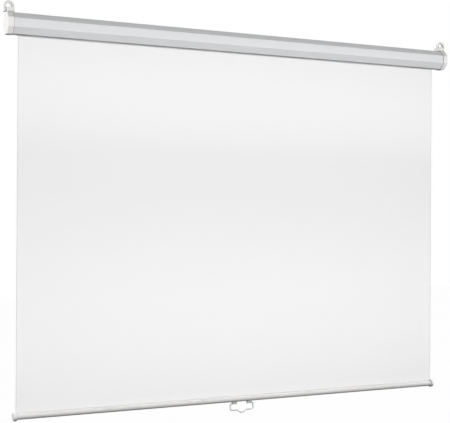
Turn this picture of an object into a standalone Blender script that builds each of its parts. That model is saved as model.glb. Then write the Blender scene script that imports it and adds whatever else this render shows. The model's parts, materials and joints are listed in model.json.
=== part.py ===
"""A manual pull-down projector screen: an octagonal housing with a sprung roller, a hanging
screen and a round bottom bar with a pull handle.

Metres, +Z up. The origin is the middle of the housing's back face, +Y points into the wall,
and X runs along the housing. The screen is shown pulled right down.
"""
import math

import bmesh
import bpy
from mathutils import Vector

# Picture and housing
FABRIC_WIDTH = 1.596
FABRIC_DROP = 1.200  # from the housing's underside to the middle of the bottom bar
FABRIC_THICKNESS = 0.0004
HOUSING_FLATS = 0.067  # across opposite flats of the octagon
HOUSING_SHEET = 0.001
HOUSING_MARGIN = 0.0217  # housing past each side edge of the fabric
FABRIC_SETBACK = 0.011  # fabric plane behind the housing's middle
SLOT_AHEAD = 0.006  # slot edge in front of the fabric
SLOT_BEHIND = 0.002  # slot edge behind the fabric
SLOT_LIP = 0.005  # height of the front edge's upturned lip

# Clearances
SEAT_GAP = 0.0003  # between pieces that seat on each other
RUNNING_GAP = 0.0003  # round a turning shaft

# End caps
COLLAR_FLATS = 0.070
COLLAR_SEAM = 0.002  # open groove between the housing's end and the collar
COLLAR_LENGTH = 0.0178
COLLAR_CHAMFER = 0.0010
SPIGOT_LENGTH = 0.0157  # from the collar into the housing
SPIGOT_WALL = 0.002
CAP_PLATE = 0.0035  # thickness of the closed end
BOSS_RADIUS = 0.009
BOSS_STAND_OFF = 0.0062  # boss end to the roller's flange

# Hangers
EYE_WIDTH = 0.034
EYE_HEIGHT = 0.036
EYE_THICKNESS = 0.010
EYE_CENTRE_IN = 0.009  # eye's middle inside the cap's outer face
EYE_HOLE_WIDTH = 0.018
EYE_HOLE_SILL = 0.0142  # hole's lower edge above the hanger's underside
EYE_HOLE_STRAIGHT = 0.005  # straight part of the hole's sides
FOOT_DEPTH = 0.036
FOOT_WIDTH = 0.0225
FOOT_HEIGHT = 0.0135
FOOT_INSET = 0.002  # foot's outer side inside the cap's outer face
HANGER_SCREW_RADIUS = 0.0017
HANGER_SCREW_HEAD = 0.0035
HANGER_SCREW_HEAD_HEIGHT = 0.0022
HANGER_SCREW_GRIP = 0.009  # length inside the foot

# Screws that hold the caps in the housing
CAP_SCREW_RADIUS = 0.0014
CAP_SCREW_HEAD = 0.003
CAP_SCREW_HEAD_HEIGHT = 0.0016  # sunk, so that the back can lie flat on a wall
CAP_SCREW_LENGTH = 0.0055

# Roller
TUBE_RADIUS = 0.016
TUBE_WALL = 0.001
TUBE_MARGIN = 0.005  # tube past each side edge of the fabric
WRAP_BUILD = 0.0008  # thickness of the turns that stay on the roller
PLUG_LENGTH = 0.020
FLANGE_RADIUS = 0.017
FLANGE_THICKNESS = 0.003
GUDGEON_RADIUS = 0.004
GUDGEON_LENGTH = 0.024
BUSH_WALL = 0.002
BUSH_LENGTH = 0.015

# Spring and its fixed rod
ROD_RADIUS = 0.003
ROD_PAST_ANCHOR = 0.019
TANG_HEIGHT = 0.0054
TANG_WIDTH = 0.003
TANG_LENGTH = 0.018
SPRING_RADIUS = 0.008
SPRING_WIRE_RADIUS = 0.001
SPRING_CURLS = 24
SPRING_LENGTH = 0.215
ANCHOR_RADIUS = 0.010
ANCHOR_LENGTH = 0.012

# Ratchet: positions in the roller's cross-section, from its axis
WHEEL_RADIUS = 0.009
WHEEL_THICKNESS = 0.0048
NOTCH_DEPTH = 0.0024
NOTCH_BEFORE = 0.0022  # notch sides either side of the wheel's vertical centre line
NOTCH_AFTER = 0.0026
PAWL_PIN_BACK = 0.009  # pin's distance to one side of the centre line
PAWL_PIN_UP = 0.011  # pin's height over the axis
PAWL_PIN_RADIUS = 0.0015
PAWL_PIN_GRIP = 0.0024  # length inside the plug's flange
PAWL_PIN_HEAD = 0.0026
PAWL_PIN_HEAD_HEIGHT = 0.0008
PAWL_EYE_RADIUS = 0.003
PAWL_THICKNESS = 0.0044
PAWL_ARM = 0.0104  # pin to the far side of the hook
PAWL_HOOK_WIDTH = 0.0028
PAWL_HOOK_DROP = 0.0038
PAWL_HOOK_SLOPE = 0.0006  # lean of the hook's inner side
PAWL_ARM_TOP = 0.0018
PAWL_ARM_UNDER = 0.0016
PAWL_LIFT = math.radians(18)  # how far the stored pawl is lifted out of its notch

# Bottom bar
BAR_RADIUS = 0.011
BAR_WALL = 0.0012
BAR_SLOT = 0.003
BAR_LAP = 0.003  # each side edge of the fabric past the tube, in a slot in the cap
BAR_CAP_RADIUS = 0.015
BAR_CAP_LENGTH = 0.012
BAR_CAP_ROUNDING = 0.005
BAR_CAP_SPIGOT = 0.013
HEM_ROD_RADIUS = 0.003

# Handle and its brackets
HANDLE_OFFSET = -0.005  # handle's middle along the bar
HANDLE_HALF_WIDTH = 0.0437  # to the middle of each leg
HANDLE_DROP = 0.0225  # pivot to the shoulders' middle line
HANDLE_LOBE_DROP = 0.0325  # pivot to the finger lobe's middle line
HANDLE_LOBE_HALF = 0.020
HANDLE_BAND = 0.003  # half the band's width
HANDLE_DEPTH = 0.0022  # half the band's depth
HANDLE_CORNER = 0.007
HANDLE_PIN_RADIUS = 0.0017
HANDLE_SIDE_GAP = 0.0009  # bracket's outer end to the start of the handle's bend
PIVOT_DROP = 0.0055  # pivot below the bar's tube
BRACKET_LENGTH = 0.017
BRACKET_OUT = 0.037  # bracket's outer end from the handle's middle
BRACKET_EAR = 0.0045
BRACKET_EAR_RADIUS = 0.0036
BRACKET_BASE = 0.0026
BRACKET_HALF_DEPTH = 0.006
BRACKET_SCREW_RADIUS = 0.0014
BRACKET_SCREW_HEAD = 0.0027
BRACKET_SCREW_HEAD_HEIGHT = 0.0014
BRACKET_SCREW_LENGTH = 0.009

# Flat sides round a shape, and straight steps along an arc
ROUND_FINE = 32
ROUND_MIDDLE = 24
ROUND_ROD = 16
ROUND_SMALL = 12
WIRE_SIDES = 6
CURL_POINTS = 10
HANDLE_SIDES = 8
EYE_STEPS = 16
EYE_HOLE_STEPS = 12
HALF_STEPS = 8
QUARTER_STEPS = 4

# Places that follow from the sizes above
EIGHTH = math.tan(math.radians(22.5))  # half a side of an octagon over half its flats
HOUSING_Y = -HOUSING_FLATS / 2
FABRIC_Y = HOUSING_Y + FABRIC_SETBACK
FABRIC_HALF = FABRIC_WIDTH / 2
HOUSING_HALF = FABRIC_HALF + HOUSING_MARGIN
COLLAR_IN = HOUSING_HALF + COLLAR_SEAM
CAP_FACE = COLLAR_IN + COLLAR_LENGTH
SPIGOT_FLATS = HOUSING_FLATS - 2 * (HOUSING_SHEET + SEAT_GAP)
CAVITY_FLATS = SPIGOT_FLATS - 2 * SPIGOT_WALL
WRAP_INNER = TUBE_RADIUS + SEAT_GAP
WRAP_OUTER = WRAP_INNER + WRAP_BUILD
ROLLER_Y = FABRIC_Y - FABRIC_THICKNESS / 2 - SEAT_GAP - WRAP_OUTER
TUBE_HALF = FABRIC_HALF + TUBE_MARGIN
FLANGE_IN = TUBE_HALF + SEAT_GAP
FLANGE_OUT = FLANGE_IN + FLANGE_THICKNESS
BOSS_END = FLANGE_OUT + BOSS_STAND_OFF
BAR_Z = -HOUSING_FLATS / 2 - FABRIC_DROP
BAR_HALF = FABRIC_HALF - BAR_LAP
BAR_INNER = BAR_RADIUS - BAR_WALL
HANGER_Z = COLLAR_FLATS / 2 + SEAT_GAP
EYE_X = CAP_FACE - EYE_CENTRE_IN
CAP_SCREW_X = COLLAR_IN - SPIGOT_LENGTH / 2
SPRING_START = -(TUBE_HALF - PLUG_LENGTH) + SPRING_WIRE_RADIUS + SEAT_GAP
ANCHOR_START = SPRING_START + SPRING_LENGTH + SPRING_WIRE_RADIUS + SEAT_GAP
ANCHOR_END = ANCHOR_START + ANCHOR_LENGTH
PIVOT_Z = -BAR_RADIUS - PIVOT_DROP  # from the bar's middle
SIDES = {"left": -1, "right": 1}

COLOURS = {
    "case_paint": ((0.76, 0.765, 0.775), 0.38, 0.0),
    "cap_plastic": ((0.84, 0.835, 0.825), 0.45, 0.0),
    "hanger_plastic": ((0.8, 0.8, 0.78), 0.45, 0.0),
    "bar_paint": ((0.78, 0.775, 0.765), 0.35, 0.0),
    "bar_cap_plastic": ((0.68, 0.68, 0.69), 0.45, 0.0),
    "handle_plastic": ((0.6, 0.63, 0.61), 0.40, 0.0),
    "screen_cloth": ((0.88, 0.875, 0.88), 0.90, 0.0),
    "roller_steel": ((0.62, 0.63, 0.65), 0.35, 0.9),
    "spring_steel": ((0.30, 0.30, 0.32), 0.35, 0.9),
    "screw_steel": ((0.60, 0.60, 0.62), 0.30, 0.9),
    "plug_plastic": ((0.20, 0.20, 0.21), 0.50, 0.0),
    "hem_plastic": ((0.75, 0.75, 0.75), 0.50, 0.0),
}


def clear_scene():
    for item in list(bpy.data.objects):
        bpy.data.objects.remove(item, do_unlink=True)


def material(name, colour, roughness, metallic):
    made = bpy.data.materials.new(name)
    made.use_nodes = True
    shader = made.node_tree.nodes["Principled BSDF"]
    shader.inputs["Base Color"].default_value = (*colour, 1.0)
    shader.inputs["Roughness"].default_value = roughness
    shader.inputs["Metallic"].default_value = metallic
    return made


def empty(name, place):
    made = bpy.data.objects.new(name, None)
    made.location = place
    bpy.context.scene.collection.objects.link(made)
    return made


def solid(name, paint, rings, loop=False, parent=None, place=(0, 0, 0), smooth=False):
    """A closed mesh from rings of points. loop joins the last ring to the first, as in a tube."""
    shape = bmesh.new()
    rows = [[shape.verts.new(point) for point in ring] for ring in rings]
    pairs = list(zip(rows, rows[1:]))
    if loop:
        pairs.append((rows[-1], rows[0]))
    for near, far in pairs:
        count = len(near)
        for i in range(count):
            j = (i + 1) % count
            shape.faces.new((near[i], near[j], far[j], far[i]))
    if not loop:
        shape.faces.new(rows[0])
        shape.faces.new(rows[-1])
    bmesh.ops.recalc_face_normals(shape, faces=shape.faces)
    mesh = bpy.data.meshes.new(name)
    shape.to_mesh(mesh)
    shape.free()
    if paint:
        mesh.materials.append(PAINTS[paint])
    if smooth:
        mesh.shade_smooth()
        mesh.set_sharp_from_angle(angle=math.radians(35))
    made = bpy.data.objects.new(name, mesh)
    made.location = place
    made.parent = parent
    bpy.context.scene.collection.objects.link(made)
    return made


def change(target, operation, tool):
    """A Boolean step of target by tool, which is a construction shape and not a piece."""
    step = target.modifiers.new(tool.name, "BOOLEAN")
    step.operation = operation
    step.solver = "EXACT"
    step.object = tool
    tool.hide_render = True
    tool.display_type = "WIRE"


def angles(start, sweep, steps):
    """Evenly spaced angles in radians, from start and through sweep in degrees."""
    return [math.radians(start + sweep * i / steps) for i in range(steps + 1)]


def circle(x, radius, count, y=0.0, z=0.0):
    """Points round an X axis through (y, z)."""
    turns = [2 * math.pi * (i + 0.5) / count for i in range(count)]
    return [Vector((x, y + radius * math.cos(a), z + radius * math.sin(a))) for a in turns]


def upright_circle(z, radius, count, x=0.0, y=0.0):
    """Points round a Z axis through (x, y)."""
    turns = [2 * math.pi * (i + 0.5) / count for i in range(count)]
    return [Vector((x + radius * math.cos(a), y + radius * math.sin(a), z)) for a in turns]


def level_circle(y, radius, count, x=0.0, z=0.0):
    """Points round a Y axis through (x, z)."""
    turns = [2 * math.pi * (i + 0.5) / count for i in range(count)]
    return [Vector((x + radius * math.cos(a), y, z + radius * math.sin(a))) for a in turns]


def octagon(x, flats):
    """An octagon across the housing, with flats on its top, bottom, front and back."""
    corner = flats / 2 / math.cos(math.radians(22.5))
    turns = [math.radians(22.5 + 45 * i) for i in range(8)]
    return [Vector((x, HOUSING_Y + corner * math.cos(a), corner * math.sin(a))) for a in turns]


def box_rings(low, high):
    """A box's two end rings, from its low and high corners."""
    def ring(x):
        return [Vector((x, y, z)) for y, z in (
            (low[1], low[2]), (high[1], low[2]), (high[1], high[2]), (low[1], high[2]))]
    return [ring(low[0]), ring(high[0])]


def across(outline, near, far):
    """An outline of (y, z) points run along X from near to far."""
    return [[Vector((x, y, z)) for y, z in outline] for x in (near, far)]


def housing_case():
    """The bent sheet, open along its underside for the fabric."""
    half = HOUSING_FLATS / 2
    inner = half - HOUSING_SHEET
    slot_front = FABRIC_Y - SLOT_AHEAD
    slot_back = FABRIC_Y + SLOT_BEHIND

    def corners(reach):
        side = reach * EIGHTH
        shape = [(-side, -reach), (-reach, -side), (-reach, side), (-side, reach),
                 (side, reach), (reach, side), (reach, -side), (side, -reach)]
        return [(HOUSING_Y + y, z) for y, z in shape]

    lip = [
        (slot_front - HOUSING_SHEET, -inner),
        (slot_front - HOUSING_SHEET, -half + SLOT_LIP),
        (slot_front, -half + SLOT_LIP),
        (slot_front, -half),
    ]
    outline = lip + corners(half) + [(slot_back, -half), (slot_back, -inner)]
    outline += corners(inner)[::-1]
    case = solid("housing_case", "case_paint", across(outline, -HOUSING_HALF, HOUSING_HALF))
    for side, sign in SIDES.items():
        change(case, "DIFFERENCE", cap_screw_hole(f"cut_housing_screw_{side}", sign))


def cap_screw_profile(gap):
    """Stations along Y and radii of a cap screw, with gap added round it for its hole."""
    seat = -SEAT_GAP - CAP_SCREW_HEAD_HEIGHT
    return [
        (-SEAT_GAP, CAP_SCREW_HEAD + gap),
        (seat, CAP_SCREW_RADIUS + gap),
        (-CAP_SCREW_LENGTH - gap, CAP_SCREW_RADIUS + gap),
    ]


def cap_screw_hole(name, sign):
    """Through the housing's back and the cap's spigot, wide enough for the sunk head."""
    stations = [(SEAT_GAP, CAP_SCREW_HEAD + SEAT_GAP)] + cap_screw_profile(SEAT_GAP)
    rings = [level_circle(y, radius, ROUND_SMALL, x=sign * CAP_SCREW_X) for y, radius in stations]
    return solid(name, None, rings)


def end_cap(side, sign):
    """A moulded cup: a collar past the housing, a spigot inside it and a boss for the roller."""
    stations = [
        (CAP_FACE - CAP_PLATE, CAVITY_FLATS),
        (COLLAR_IN - SPIGOT_LENGTH, CAVITY_FLATS),
        (COLLAR_IN - SPIGOT_LENGTH, SPIGOT_FLATS),
        (COLLAR_IN, SPIGOT_FLATS),
        (COLLAR_IN, COLLAR_FLATS),
        (CAP_FACE - COLLAR_CHAMFER, COLLAR_FLATS),
        (CAP_FACE, COLLAR_FLATS - 2 * COLLAR_CHAMFER),
    ]
    rings = [octagon(sign * x, flats) for x, flats in stations]
    cap = solid(f"end_cap_{side}", "cap_plastic", rings)

    root = CAP_FACE - CAP_PLATE / 2
    boss = [circle(sign * x, BOSS_RADIUS, ROUND_MIDDLE, y=ROLLER_Y) for x in (BOSS_END, root)]
    change(cap, "UNION", solid(f"add_boss_{side}", None, boss, smooth=True))

    if side == "left":
        deep = BOSS_END + TANG_LENGTH + SEAT_GAP
        half_height = TANG_HEIGHT / 2 + SEAT_GAP
        half_width = TANG_WIDTH / 2 + SEAT_GAP
        low = (sign * deep, ROLLER_Y - half_width, -half_height)
        high = (sign * (BOSS_END - SEAT_GAP), ROLLER_Y + half_width, half_height)
        socket = box_rings(low, high)
    else:
        bore = GUDGEON_RADIUS + RUNNING_GAP + BUSH_WALL + SEAT_GAP
        ends = (BOSS_END - BUSH_WALL, CAP_FACE - CAP_PLATE)
        socket = [circle(sign * x, bore, ROUND_MIDDLE, y=ROLLER_Y) for x in ends]
    change(cap, "DIFFERENCE", solid(f"cut_socket_{side}", None, socket))

    lip_front = FABRIC_Y - SLOT_AHEAD - HOUSING_SHEET - SEAT_GAP
    lip_back = FABRIC_Y - SLOT_AHEAD + SEAT_GAP
    low = (sign * (COLLAR_IN - SPIGOT_LENGTH - SPIGOT_WALL), lip_front, -HOUSING_FLATS / 2)
    high = (sign * COLLAR_IN, lip_back, -HOUSING_FLATS / 2 + SLOT_LIP + SEAT_GAP)
    change(cap, "DIFFERENCE", solid(f"cut_lip_{side}", None, box_rings(low, high)))

    wall = (CAVITY_FLATS / 2 - SPIGOT_WALL, COLLAR_FLATS / 2 + SPIGOT_WALL)
    upright = [upright_circle(z, HANGER_SCREW_RADIUS + SEAT_GAP, ROUND_SMALL,
                              x=sign * EYE_X, y=HOUSING_Y) for z in wall]
    change(cap, "DIFFERENCE", solid(f"cut_hanger_screw_{side}", None, upright))

    change(cap, "DIFFERENCE", cap_screw_hole(f"cut_cap_screw_{side}", sign))


def hanger(side, sign):
    """An arched eye on a foot block, standing on the cap's top."""
    centre = sign * EYE_X
    faces = (HOUSING_Y - EYE_THICKNESS / 2, HOUSING_Y + EYE_THICKNESS / 2)

    def arch(half_width, bottom, spring_line, steps, y):
        top = [(half_width * math.cos(a), spring_line + half_width * math.sin(a))
               for a in angles(0, 180, steps)]
        outline = [(half_width, bottom)] + top + [(-half_width, bottom)]
        return [Vector((centre + x, y, HANGER_Z + z)) for x, z in outline]

    half = EYE_WIDTH / 2
    plate = [arch(half, 0.0, EYE_HEIGHT - half, EYE_STEPS, y) for y in faces]
    body = solid(f"hanger_{side}", "hanger_plastic", plate)

    outer = CAP_FACE - FOOT_INSET
    xs = sorted((sign * outer, sign * (outer - FOOT_WIDTH)))
    low = (xs[0], HOUSING_Y - FOOT_DEPTH / 2, HANGER_Z)
    high = (xs[1], HOUSING_Y + FOOT_DEPTH / 2, HANGER_Z + FOOT_HEIGHT)
    change(body, "UNION", solid(f"add_foot_{side}", None, box_rings(low, high)))

    hole_half = EYE_HOLE_WIDTH / 2
    through = (faces[0] - EYE_THICKNESS, faces[1] + EYE_THICKNESS)
    hole = [arch(hole_half, EYE_HOLE_SILL, EYE_HOLE_SILL + EYE_HOLE_STRAIGHT,
                 EYE_HOLE_STEPS, y) for y in through]
    change(body, "DIFFERENCE", solid(f"cut_eye_{side}", None, hole))

    depth = (HANGER_Z - SEAT_GAP, HANGER_Z + HANGER_SCREW_GRIP + SEAT_GAP)
    blind = [upright_circle(z, HANGER_SCREW_RADIUS + SEAT_GAP, ROUND_SMALL,
                            x=sign * EYE_X, y=HOUSING_Y) for z in depth]
    change(body, "DIFFERENCE", solid(f"cut_foot_screw_{side}", None, blind))


def hanger_screw(side, sign):
    """From inside the cap up into the hanger's foot."""
    seat = CAVITY_FLATS / 2 - SEAT_GAP
    stations = [
        (seat - HANGER_SCREW_HEAD_HEIGHT, HANGER_SCREW_HEAD),
        (seat, HANGER_SCREW_HEAD),
        (seat, HANGER_SCREW_RADIUS),
        (HANGER_Z + HANGER_SCREW_GRIP, HANGER_SCREW_RADIUS),
    ]
    rings = [upright_circle(z, radius, ROUND_SMALL) for z, radius in stations]
    place = (sign * EYE_X, HOUSING_Y, 0)
    solid(f"hanger_screw_{side}", "screw_steel", rings, place=place, smooth=True)


def cap_screw(side, sign):
    """Through the housing's back into the cap's spigot."""
    rings = [level_circle(y, radius, ROUND_SMALL) for y, radius in cap_screw_profile(0.0)]
    place = (sign * CAP_SCREW_X, 0, 0)
    solid(f"cap_screw_{side}", "screw_steel", rings, place=place, smooth=True)


def roller_tube(axis):
    stations = [
        (-TUBE_HALF, TUBE_RADIUS), (TUBE_HALF, TUBE_RADIUS),
        (TUBE_HALF, TUBE_RADIUS - TUBE_WALL), (-TUBE_HALF, TUBE_RADIUS - TUBE_WALL),
    ]
    rings = [circle(x, radius, ROUND_FINE) for x, radius in stations]
    solid("roller_tube", "roller_steel", rings, loop=True, parent=axis, smooth=True)


def fabric_wraps(axis):
    """The turns of screen cloth that never leave the roller."""
    stations = [
        (-FABRIC_HALF, WRAP_OUTER), (FABRIC_HALF, WRAP_OUTER),
        (FABRIC_HALF, WRAP_INNER), (-FABRIC_HALF, WRAP_INNER),
    ]
    rings = [circle(x, radius, ROUND_FINE) for x, radius in stations]
    solid("fabric_wraps", "screen_cloth", rings, loop=True, parent=axis, smooth=True)


def idle_plug(axis):
    """Fills the tube's right end and carries the gudgeon that turns in the cap's bush."""
    body = TUBE_RADIUS - TUBE_WALL - SEAT_GAP
    stations = [
        (TUBE_HALF - PLUG_LENGTH, body),
        (FLANGE_IN, body),
        (FLANGE_IN, FLANGE_RADIUS),
        (FLANGE_OUT, FLANGE_RADIUS),
        (FLANGE_OUT, GUDGEON_RADIUS),
        (FLANGE_OUT + GUDGEON_LENGTH, GUDGEON_RADIUS),
    ]
    rings = [circle(x, radius, ROUND_FINE) for x, radius in stations]
    solid("idle_plug", "plug_plastic", rings, parent=axis, smooth=True)


def idle_bush():
    inner = GUDGEON_RADIUS + RUNNING_GAP
    stations = [
        (BOSS_END, inner + BUSH_WALL), (BOSS_END + BUSH_LENGTH, inner + BUSH_WALL),
        (BOSS_END + BUSH_LENGTH, inner), (BOSS_END, inner),
    ]
    rings = [circle(x, radius, ROUND_FINE) for x, radius in stations]
    solid("idle_bush", "plug_plastic", rings, loop=True, place=(0, ROLLER_Y, 0), smooth=True)


def spring_plug(axis):
    """Fills the tube's left end, turns on the spring rod and carries the pawls."""
    body = TUBE_RADIUS - TUBE_WALL - SEAT_GAP
    bore = ROD_RADIUS + RUNNING_GAP
    stations = [
        (-(TUBE_HALF - PLUG_LENGTH), body),
        (-FLANGE_IN, body),
        (-FLANGE_IN, FLANGE_RADIUS),
        (-FLANGE_OUT, FLANGE_RADIUS),
        (-FLANGE_OUT, bore),
        (-(TUBE_HALF - PLUG_LENGTH), bore),
    ]
    rings = [circle(x, radius, ROUND_FINE) for x, radius in stations]
    plug = solid("spring_plug", "plug_plastic", rings, loop=True, parent=axis, smooth=True)
    reach = (-(FLANGE_OUT - PAWL_PIN_GRIP - SEAT_GAP), -(FLANGE_OUT + SEAT_GAP))
    for letter, sign in (("a", 1), ("b", -1)):
        hole = [circle(x, PAWL_PIN_RADIUS + SEAT_GAP, ROUND_SMALL, y=-sign * PAWL_PIN_BACK,
                       z=sign * PAWL_PIN_UP) for x in reach]
        change(plug, "DIFFERENCE", solid(f"cut_pin_{letter}", None, hole, parent=axis))


def spring_rod():
    """Held still by its flat tang in the left cap's boss."""
    shoulder = -(BOSS_END - SEAT_GAP)
    rings = [circle(x, ROD_RADIUS, ROUND_ROD) for x in (shoulder, ANCHOR_END + ROD_PAST_ANCHOR)]
    rod = solid("spring_rod", "roller_steel", rings, place=(0, ROLLER_Y, 0), smooth=True)
    low = (-(BOSS_END + TANG_LENGTH), ROLLER_Y - TANG_WIDTH / 2, -TANG_HEIGHT / 2)
    high = (shoulder + ROD_RADIUS, ROLLER_Y + TANG_WIDTH / 2, TANG_HEIGHT / 2)
    change(rod, "UNION", solid("add_tang", None, box_rings(low, high)))


def ratchet_wheel():
    """Fixed on the rod, with a notch over and a notch under the axis."""
    near = FLANGE_OUT + SEAT_GAP
    far = near + WHEEL_THICKNESS
    bore = ROD_RADIUS + SEAT_GAP
    stations = [(-near, WHEEL_RADIUS), (-far, WHEEL_RADIUS), (-far, bore), (-near, bore)]
    rings = [circle(x, radius, ROUND_FINE) for x, radius in stations]
    place = (0, ROLLER_Y, 0)
    wheel = solid("ratchet_wheel", "roller_steel", rings, loop=True, place=place, smooth=True)
    floor = WHEEL_RADIUS - NOTCH_DEPTH
    past = WHEEL_RADIUS + NOTCH_DEPTH
    for name, sign in (("over", 1), ("under", -1)):
        ys = sorted((-sign * NOTCH_BEFORE, sign * NOTCH_AFTER))
        zs = sorted((sign * floor, sign * past))
        low = (-far - SEAT_GAP, ys[0], zs[0])
        high = (-near + SEAT_GAP, ys[1], zs[1])
        notch = solid(f"cut_notch_{name}", None, box_rings(low, high), place=place)
        change(wheel, "DIFFERENCE", notch)


def spring_anchor():
    """A collar fixed near the rod's end, where the spring's inner end is held."""
    bore = ROD_RADIUS + SEAT_GAP
    stations = [
        (ANCHOR_START, ANCHOR_RADIUS), (ANCHOR_END, ANCHOR_RADIUS),
        (ANCHOR_END, bore), (ANCHOR_START, bore),
    ]
    rings = [circle(x, radius, ROUND_MIDDLE) for x, radius in stations]
    place = (0, ROLLER_Y, 0)
    solid("spring_anchor", "plug_plastic", rings, loop=True, place=place, smooth=True)


def torsion_spring(axis):
    """One wire wound round the rod between the plug and the anchor."""
    steps = SPRING_CURLS * CURL_POINTS
    slope = SPRING_LENGTH / (SPRING_CURLS * 2 * math.pi * SPRING_RADIUS)
    rings = []
    for i in range(steps + 1):
        angle = 2 * math.pi * i / CURL_POINTS
        outward = Vector((0, math.cos(angle), math.sin(angle)))
        forward = Vector((slope, -math.sin(angle), math.cos(angle))).normalized()
        sideways = forward.cross(outward)
        middle = Vector((SPRING_START + SPRING_LENGTH * i / steps, 0, 0))
        middle += outward * SPRING_RADIUS
        turns = [2 * math.pi * k / WIRE_SIDES for k in range(WIRE_SIDES)]
        rings.append([middle + SPRING_WIRE_RADIUS * (math.cos(t) * outward + math.sin(t) * sideways)
                      for t in turns])
    solid("torsion_spring", "spring_steel", rings, parent=axis, smooth=True)


def pawl(letter, sign, axis):
    """A hooked lever on the plug's flange, lifted clear of the wheel. Pawl b is a turned half."""
    tip = PAWL_ARM - PAWL_HOOK_WIDTH
    outline = [(PAWL_EYE_RADIUS * math.cos(a), PAWL_EYE_RADIUS * math.sin(a))
               for a in angles(90, 180, HALF_STEPS)]
    outline += [
        (tip - PAWL_HOOK_SLOPE, -PAWL_ARM_UNDER),
        (tip, -PAWL_HOOK_DROP),
        (PAWL_ARM, -PAWL_HOOK_DROP),
        (PAWL_ARM, PAWL_ARM_TOP),
    ]
    near = -(FLANGE_OUT + SEAT_GAP)
    half = math.pi if sign < 0 else 0.0
    lift = PAWL_LIFT + half
    turned = [(y * math.cos(lift) - z * math.sin(lift), y * math.sin(lift) + z * math.cos(lift))
              for y, z in outline]
    place = (near, -sign * PAWL_PIN_BACK, sign * PAWL_PIN_UP)
    rings = across(turned, 0.0, -PAWL_THICKNESS)
    lever = solid(f"pawl_{letter}", "roller_steel", rings, parent=axis, place=place)
    hole = [circle(x, PAWL_PIN_RADIUS + RUNNING_GAP, ROUND_SMALL)
            for x in (SEAT_GAP, -PAWL_THICKNESS - SEAT_GAP)]
    bore = solid(f"cut_pawl_{letter}", None, hole, parent=axis, place=place)
    change(lever, "DIFFERENCE", bore)

    head = -(FLANGE_OUT + PAWL_THICKNESS + 2 * SEAT_GAP)
    stations = [
        (-(FLANGE_OUT - PAWL_PIN_GRIP), PAWL_PIN_RADIUS),
        (head, PAWL_PIN_RADIUS),
        (head, PAWL_PIN_HEAD),
        (head - PAWL_PIN_HEAD_HEIGHT, PAWL_PIN_HEAD),
    ]
    rings = [circle(x, radius, ROUND_SMALL) for x, radius in stations]
    solid(f"pawl_pin_{letter}", "screw_steel", rings, parent=axis,
          place=(0, -sign * PAWL_PIN_BACK, sign * PAWL_PIN_UP), smooth=True)


def screen_fabric():
    """The hanging cloth, from the back of the roller down into the bar's slot."""
    low = (-FABRIC_HALF, FABRIC_Y - FABRIC_THICKNESS / 2, BAR_Z + BAR_INNER + SEAT_GAP / 2)
    high = (FABRIC_HALF, FABRIC_Y + FABRIC_THICKNESS / 2, 0.0)
    solid("screen_fabric", "screen_cloth", box_rings(low, high))


def bottom_tube(bar):
    """A tube slotted along its top, where the fabric's hem goes in."""
    stations = [
        (-BAR_HALF, BAR_RADIUS), (BAR_HALF, BAR_RADIUS),
        (BAR_HALF, BAR_INNER), (-BAR_HALF, BAR_INNER),
    ]
    rings = [circle(x, radius, ROUND_FINE) for x, radius in stations]
    tube = solid("bottom_tube", "bar_paint", rings, loop=True, parent=bar, smooth=True)
    end = BAR_HALF + BAR_CAP_LENGTH
    slot = box_rings((-end, -BAR_SLOT / 2, 0.0), (end, BAR_SLOT / 2, BAR_CAP_RADIUS))
    change(tube, "DIFFERENCE", solid("cut_bar_slot", None, slot, parent=bar))
    for side, sign in SIDES.items():
        hole = [upright_circle(z, BRACKET_SCREW_RADIUS + SEAT_GAP, ROUND_SMALL, x=bracket_middle(sign))
                for z in (-BAR_CAP_RADIUS, 0.0)]
        change(tube, "DIFFERENCE", solid(f"cut_bar_screw_{side}", None, hole, parent=bar))


def hem_rod(bar):
    """Sewn into the fabric's lower edge, too thick to leave through the slot."""
    half = BAR_HALF - BAR_CAP_SPIGOT - SEAT_GAP
    rings = [circle(x, HEM_ROD_RADIUS, ROUND_ROD) for x in (-half, half)]
    place = (0, 0, BAR_INNER - HEM_ROD_RADIUS - SEAT_GAP)
    solid("hem_rod", "hem_plastic", rings, parent=bar, place=place, smooth=True)


def bar_cap(side, sign, bar):
    """A round plug over the tube's end, rounded at its rim and slotted for the fabric's edge."""
    face = BAR_HALF + SEAT_GAP
    spigot = BAR_INNER - SEAT_GAP
    stations = [
        (BAR_HALF - BAR_CAP_SPIGOT, spigot),
        (face, spigot),
        (face, BAR_CAP_RADIUS),
    ]
    for angle in angles(0, 90, QUARTER_STEPS):
        x = face + BAR_CAP_LENGTH - BAR_CAP_ROUNDING * (1 - math.sin(angle))
        stations.append((x, BAR_CAP_RADIUS - BAR_CAP_ROUNDING * (1 - math.cos(angle))))
    rings = [circle(sign * x, radius, ROUND_FINE) for x, radius in stations]
    cap = solid(f"bar_cap_{side}", "bar_cap_plastic", rings, parent=bar, smooth=True)
    xs = sorted((sign * BAR_HALF, sign * (FABRIC_HALF + SEAT_GAP)))
    low = (xs[0], -BAR_SLOT / 2, BAR_INNER - SEAT_GAP / 2)
    high = (xs[1], BAR_SLOT / 2, 2 * BAR_CAP_RADIUS)
    change(cap, "DIFFERENCE", solid(f"cut_bar_cap_slot_{side}", None, box_rings(low, high), parent=bar))


def bracket_middle(sign):
    return HANDLE_OFFSET + sign * (BRACKET_OUT - BRACKET_LENGTH / 2)


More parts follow.
